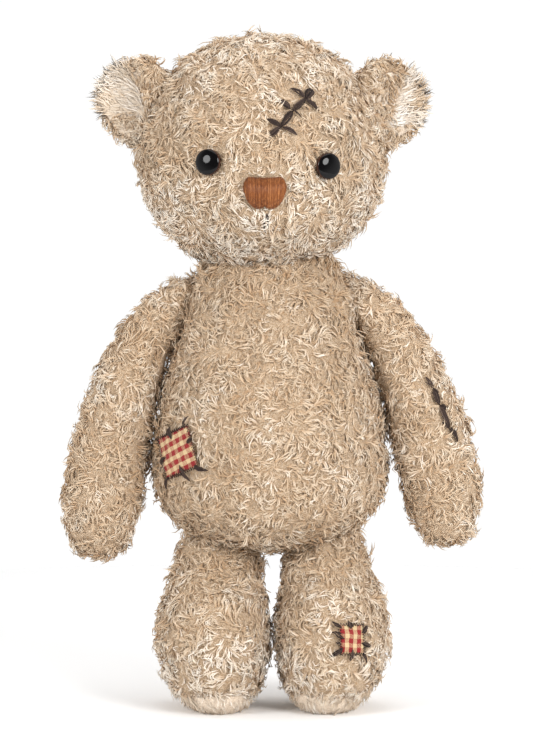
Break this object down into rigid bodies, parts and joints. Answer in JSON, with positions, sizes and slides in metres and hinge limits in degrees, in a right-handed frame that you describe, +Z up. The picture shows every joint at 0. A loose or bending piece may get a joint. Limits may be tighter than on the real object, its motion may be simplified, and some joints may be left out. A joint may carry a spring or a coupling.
{
  "type": "threadbare teddy bear",
  "caption": "Standing plush bear of curly beige pile, with gingham patches and thick mending stitches, stuffed and sewn from fabric panels.",
  "frame": {"origin": "on the floor under the middle of the bear's bounds", "axes": "+Z up the standing bear, -Y the way it faces, +X towards its own left"},
  "size_m": [0.2051, 0.1166, 0.3335],
  "materials": {
    "curly_pile": "curly beige-brown pile, clumped and lightly matted",
    "short_pile": "short smooth cream pile",
    "stuffing": "loose white polyester fibre",
    "eye_plastic": "gloss black",
    "washer_plastic": "plain white",
    "nose_thread": "satin stitch in glossy orange-brown thread",
    "dark_thread": "thick dark brown embroidery thread",
    "gingham": "red and cream woven gingham"
  },
  "bodies": {
    "root": {"torso_front_right": "curly_pile", "torso_front_left": "curly_pile", "torso_back_right": "curly_pile", "torso_back_left": "curly_pile", "torso_stuffing": "stuffing", "head_gusset": "curly_pile", "head_side_right": "curly_pile", "head_side_left": "curly_pile", "head_stuffing": "stuffing", "right_eye": "eye_plastic", "left_eye": "eye_plastic", "right_eye_washer": "washer_plastic", "left_eye_washer": "washer_plastic", "nose": "nose_thread", "mouth_stitch": "dark_thread", "forehead_scar_run_1": "dark_thread", "forehead_scar_run_2": "dark_thread", "forehead_scar_run_3": "dark_thread", "forehead_scar_run_4": "dark_thread", "forehead_scar_cross_1": "dark_thread", "forehead_scar_cross_2": "dark_thread", "forehead_scar_cross_3": "dark_thread", "right_ear_back": "curly_pile", "right_ear_lining": "short_pile", "left_ear_back": "curly_pile", "left_ear_lining": "short_pile", "right_arm_front": "curly_pile", "right_arm_back": "curly_pile", "right_arm_stuffing": "stuffing", "left_arm_front": "curly_pile", "left_arm_back": "curly_pile", "left_arm_stuffing": "stuffing", "right_leg_outer": "curly_pile", "right_leg_inner": "curly_pile", "right_sole": "short_pile", "right_leg_stuffing": "stuffing", "left_leg_outer": "curly_pile", "left_leg_inner": "curly_pile", "left_sole": "short_pile", "left_leg_stuffing": "stuffing", "belly_patch": "gingham", "belly_patch_stitching": "dark_thread", "left_foot_patch": "gingham", "left_foot_patch_stitching": "dark_thread", "left_arm_scar_run_1": "dark_thread", "left_arm_scar_run_2": "dark_thread", "left_arm_scar_run_3": "dark_thread", "left_arm_scar_run_4": "dark_thread", "left_arm_scar_cross_1": "dark_thread", "left_arm_scar_cross_2": "dark_thread", "left_arm_scar_cross_3": "dark_thread"}
  },
  "joints": []
}
